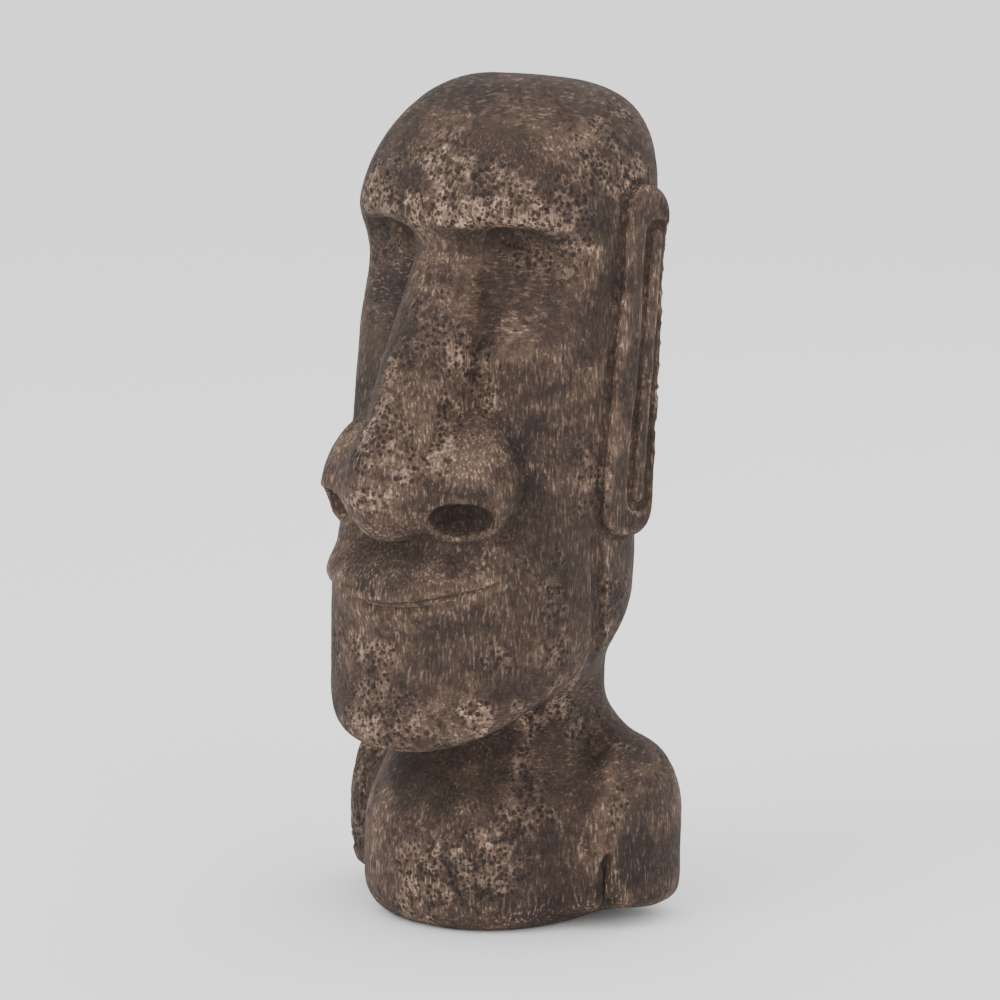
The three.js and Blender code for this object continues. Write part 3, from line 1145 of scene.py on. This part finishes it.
class Val:
    """A value in a material, which sums add Math nodes to."""

    def __init__(self, paint: Paint, socket: bpy.types.NodeSocket) -> None:
        """Keep the socket that carries the value."""
        self.paint, self.socket = paint, socket

    def math(self, how: str, a: Any, b: Any) -> "Val":
        """Add one Math node.

        Args:
            how: Its operation.
            a: First value.
            b: Second value.

        Returns:
            The result.
        """
        return self.paint.val(self.paint.node("ShaderNodeMath", {"operation": how}, i0=a, i1=b))

    def __add__(self, other: Any) -> "Val":
        """Sum."""
        return self.math("ADD", self, other)

    __radd__ = __add__

    def __mul__(self, other: Any) -> "Val":
        """Product."""
        return self.math("MULTIPLY", self, other)

    __rmul__ = __mul__

    def __sub__(self, other: Any) -> "Val":
        """Difference."""
        return self.math("SUBTRACT", self, other)

    def __rsub__(self, other: Any) -> "Val":
        """Difference from a value before it."""
        return self.math("SUBTRACT", other, self)

    def ramp(self, lo: float, hi: float) -> "Val":
        """Ease from 0 to 1.

        Args:
            lo: Where the ease starts.
            hi: Where it ends.

        Returns:
            The eased value.
        """
        settings = {"interpolation_type": "SMOOTHSTEP"}
        made = self.paint.node("ShaderNodeMapRange", settings, i0=self, i1=lo, i2=hi, i3=0.0, i4=1.0)
        return self.paint.val(made)

    def at_least(self, other: Any) -> "Val":
        """The larger of two."""
        return self.math("MAXIMUM", self, other)


Colour = tuple[float, float, float, float]


def srgb(red: int, green: int, blue: int) -> Colour:
    """A colour given as screen values from 0 to 255.

    Args:
        red: Red.
        green: Green.
        blue: Blue.

    Returns:
        The linear colour, opaque.
    """
    parts = [v / 255.0 for v in (red, green, blue)]
    return (*[v / 12.92 if v <= 0.04045 else ((v + 0.055) / 1.055) ** 2.4 for v in parts], 1.0)


class Lay(Enum):
    """Which way the tool marks run over the surface, with the stretch that draws them."""

    UPRIGHT = (1.0, 1.0, 0.22)
    LEVEL = (0.3, 0.3, 1.0)
    SLOPED = (0.6, 0.25, 1.0)


@dataclass(frozen=True)
class StoneFinish:
    """Dark brown weathered stone: blotches, small pits, pale worn ridges and tool marks, with painted
    shade darkening its creases and, over their own darker colour, its pits, gouges and hollows.
    """

    dark: Colour = srgb(55, 42, 36)
    middle: Colour = srgb(88, 71, 59)
    light: Colour = srgb(117, 96, 80)
    worn: Colour = srgb(142, 117, 99)
    pale: Colour = srgb(204, 174, 149)
    # Near-black brown for real soot stains, also laid as painted shade into pits, gouges, hollows and
    # creases.
    soot_and_shade: Colour = srgb(29, 22, 21)
    roughness: float = 0.9
    worn_gloss: float = 0.12
    specular: float = 0.3
    slope: float = 24.0
    mark_size: float = 2.3
    cloud_size: float = 42.0
    stain_size: float = 80.0
    patch_size: float = 22.0
    mottle_size: float = 8.0
    grit_size: float = 1.3
    large_pits: Place = (5.4, 0.78, 0.38)
    small_pits: Place = (3.4, 0.6, 0.38)
    relief: float = 0.8

    def marks(self, paint: Paint, place: Val, lay: Lay) -> Val:
        """Fine dashes along one lie of the surface.

        Args:
            paint: The material being built.
            place: Where the pattern is read.
            lay: Which way the dashes run.

        Returns:
            Noise about 0.5, drawn out along the dashes.
        """
        turn = (math.radians(self.slope), 0.0, 0.0) if lay is Lay.SLOPED else (0.0, 0.0, 0.0)
        drawn = paint.node("ShaderNodeMapping", None, Vector=place, Rotation=turn, Scale=lay.value)
        return paint.noise(paint.val(drawn), self.mark_size, 2.0, 0.55)

    def build(self, name: str) -> bpy.types.Material:
        """Make the material.

        Args:
            name: Its name.

        Returns:
            The material.
        """
        paint = Paint(name)
        place = paint.val(paint.node("ShaderNodeTexCoord"), "Object")
        hollow, edge, coarse = [paint.read(name, "Fac") for name in ("hollow", "edge", "coarse")]
        split = paint.node("ShaderNodeSeparateXYZ", None, Vector=paint.read("lay", "Vector"))
        marks = sum(self.marks(paint, place, lay) * paint.val(split, i) for i, lay in enumerate(Lay))
        clouds = paint.noise(place, self.cloud_size, 5.0, 0.6)
        stains = paint.noise(place, self.stain_size, 5.0, 0.6)
        mottle = paint.noise(place, self.mottle_size, 4.0, 0.7)
        patches = paint.noise(place, self.patch_size, 4.0, 0.65)
        grit = paint.noise(place, self.grit_size, 2.0, 0.6)
        large = paint.pits(place, *self.large_pits) * coarse.ramp(0.15, 0.6)
        small = paint.pits(place, *self.small_pits) * (0.25 + 0.75 * coarse) * patches.ramp(0.36, 0.52)
        pit = large.at_least(small)
        rubbed = coarse.ramp(0.3, 0.9) * patches.ramp(0.42, 0.58)
        dash = marks.ramp(0.56, 0.66) * (0.35 + 0.65 * clouds.ramp(0.42, 0.6))
        gouge = 1.0 - marks.ramp(0.36, 0.46)
        tone = paint.mix(clouds.ramp(0.32, 0.68), self.dark, self.middle)
        tone = paint.mix(mottle.ramp(0.46, 0.7) * 0.45, tone, self.light)
        tone = paint.mix(stains.ramp(0.53, 0.64) * 0.6, tone, self.soot_and_shade)
        tone = paint.mix(rubbed * 0.6, tone, self.worn)
        tone = paint.mix((rubbed * mottle.ramp(0.5, 0.64)) * 0.6, tone, self.pale)
        tone = paint.mix(dash * 0.34, tone, self.pale)
        tone = paint.mix(edge.ramp(0.15, 0.9) * mottle.ramp(0.35, 0.6) * 0.2, tone, self.worn)
        # Pits and tool-mark gouges darkened: partly their own dark colour, partly painted shade.
        tone = paint.mix((gouge * 0.5).at_least(pit * 0.85), tone, self.soot_and_shade)
        # Mesh pits and worn hollows darkened by their depth: partly their own dark colour, partly
        # painted shade.
        tone = paint.mix(hollow.ramp(0.5, 1.5) * 0.7, tone, self.soot_and_shade)
        # Painted shade in creases, where the surface folds inwards.
        tone = paint.mix((0.0 - edge).ramp(0.2, 0.9) * 0.6, tone, self.soot_and_shade)
        tone = paint.mix(grit.ramp(0.66, 0.8) * 0.3, tone, self.pale)
        height = marks * 0.9 - pit * 1.1 + grit * 0.35 + mottle * 0.6
        bump = paint.node("ShaderNodeBump", None, Strength=self.relief, Distance=MM, Height=height)
        shader = paint.node(
            "ShaderNodeBsdfPrincipled",
            None,
            Base_Color=tone,
            Roughness=self.roughness - edge.ramp(0.2, 1.0) * self.worn_gloss,
            Normal=paint.val(bump),
        )
        shader.inputs["Specular IOR Level"].default_value = self.specular
        paint.node("ShaderNodeOutputMaterial", None, Surface=paint.val(shader))
        return paint.material


@dataclass(frozen=True)
class FloorFinish:
    """Plain pale paper."""

    colour: Colour = srgb(246, 246, 246)
    roughness: float = 0.8

    def build(self, name: str) -> bpy.types.Material:
        """Make the material.

        Args:
            name: Its name.

        Returns:
            The material.
        """
        paint = Paint(name)
        shader = paint.node(
            "ShaderNodeBsdfPrincipled", None, Base_Color=self.colour, Roughness=self.roughness
        )
        paint.node("ShaderNodeOutputMaterial", None, Surface=paint.val(shader))
        return paint.material


# ------------------------------------------------------------------ the studio
@dataclass
class Lamp:
    """A soft square light that looks at the statue. Sizes in metres."""

    name: str
    place: Place
    side: float
    power: float


@dataclass
class Studio:
    """Pale floor, soft lights and the camera. Sizes in metres."""

    floor_side: float = 80.0
    aim: Place = (0.0, 0.06, 0.395)
    azimuth: float = 37.0
    elevation: float = 10.0
    distance: float = 4.158
    lens: float = 154.8
    sensor: float = 36.0
    shift: float = -0.0115
    sky: float = 1.6
    lamps: tuple[Lamp, ...] = (
        Lamp("key", (-1.2, -3.4, 3.2), 2.4, 90.0),
        Lamp("fill", (3.6, -1.6, 2.0), 2.6, 45.0),
        Lamp("back", (0.5, 3.4, 2.6), 2.4, 30.0),
    )

    def lay_floor(self) -> bpy.types.Object:
        """Lay the floor.

        Returns:
            The floor's object.
        """
        sheet = bmesh.new()
        bmesh.ops.create_grid(sheet, x_segments=1, y_segments=1, size=self.floor_side / 2)
        mesh = bpy.data.meshes.new("floor")
        sheet.to_mesh(mesh)
        sheet.free()
        mesh.materials.append(FloorFinish().build("pale_floor"))
        floor = bpy.data.objects.new("floor", mesh)
        bpy.context.scene.collection.objects.link(floor)
        return floor

    def aimed(self, name: str, data: bpy.types.ID, place: Vector) -> bpy.types.Object:
        """Put a lamp or camera somewhere, looking at the statue.

        Args:
            name: The object's name.
            data: The lamp or camera.
            place: Where it stands.

        Returns:
            The object.
        """
        made = bpy.data.objects.new(name, data)
        made.location = place
        made.rotation_euler = (Vector(self.aim) - place).to_track_quat("-Z", "Y").to_euler()
        bpy.context.scene.collection.objects.link(made)
        return made

    def light(self) -> None:
        """Hang the lamps and light the room evenly."""
        for lamp in self.lamps:
            data = bpy.data.lights.new(lamp.name, "AREA")
            data.shape = "SQUARE"
            data.size = lamp.side
            data.energy = lamp.power
            self.aimed(lamp.name, data, Vector(lamp.place))
        world = bpy.data.worlds.new("room")
        world.use_nodes = True
        background = world.node_tree.nodes["Background"]
        background.inputs["Color"].default_value = (1.0, 1.0, 1.0, 1.0)
        background.inputs["Strength"].default_value = self.sky
        bpy.context.scene.world = world

    def look(self) -> None:
        """Set up the camera."""
        data = bpy.data.cameras.new("camera")
        data.lens = self.lens
        data.sensor_width = self.sensor
        data.shift_x = self.shift
        a, e = math.radians(self.azimuth), math.radians(self.elevation)
        away = Vector((math.sin(a) * math.cos(e), -math.cos(a) * math.cos(e), math.sin(e)))
        bpy.context.scene.camera = self.aimed("camera", data, Vector(self.aim) + away * self.distance)


def main() -> None:
    """Build the studio and the statue."""
    logging.basicConfig(level=logging.INFO, format="%(name)s: %(message)s")
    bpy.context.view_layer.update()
    studio = Studio()
    studio.lay_floor()
    studio.light()
    studio.look()
    log.info("floor, %d lamps and camera are set", len(studio.lamps))
    piece = Statue().carve(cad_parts[NODE])
    piece.data.materials.append(StoneFinish().build("weathered_stone"))
    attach(piece, "root")
    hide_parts(NODE)
    bpy.context.view_layer.update()


if __name__ == "__main__":
    main()
